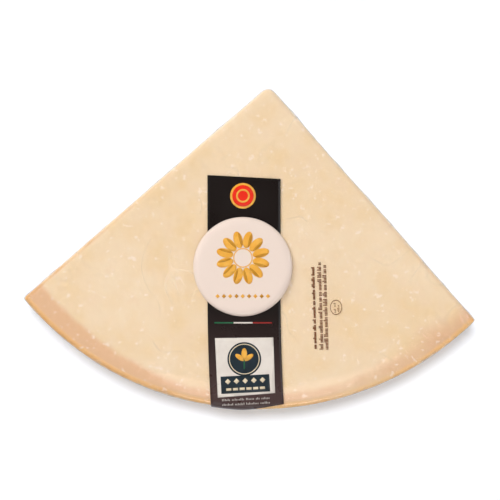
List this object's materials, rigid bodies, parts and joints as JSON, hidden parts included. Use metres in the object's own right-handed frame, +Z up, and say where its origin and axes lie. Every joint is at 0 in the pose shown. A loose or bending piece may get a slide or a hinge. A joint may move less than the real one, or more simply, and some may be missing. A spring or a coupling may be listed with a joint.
{
  "type": "vacuum-packed cheese wedge",
  "caption": "Quarter-round wedge of hard cheese with a rind on its curved side and base, vacuum-packed in clear film with a black strip label and a domed round label.",
  "frame": {"origin": "centre of the whole object's bounding box, at its base", "axes": "+Z up out of the mid-height cut face, +Y along the bisector towards the wedge's tip, +X to the right as seen from above with the tip at the top"},
  "size_m": [0.3038, 0.216, 0.1201],
  "materials": {
    "cheese": "matte",
    "film": "gloss",
    "strip": "satin",
    "round_label": "satin",
    "print": "satin"
  },
  "bodies": {
    "root": {"cheese": "cheese", "vacuum_film": "film", "strip_label": "strip", "round_label": "round_label"}
  },
  "joints": []
}
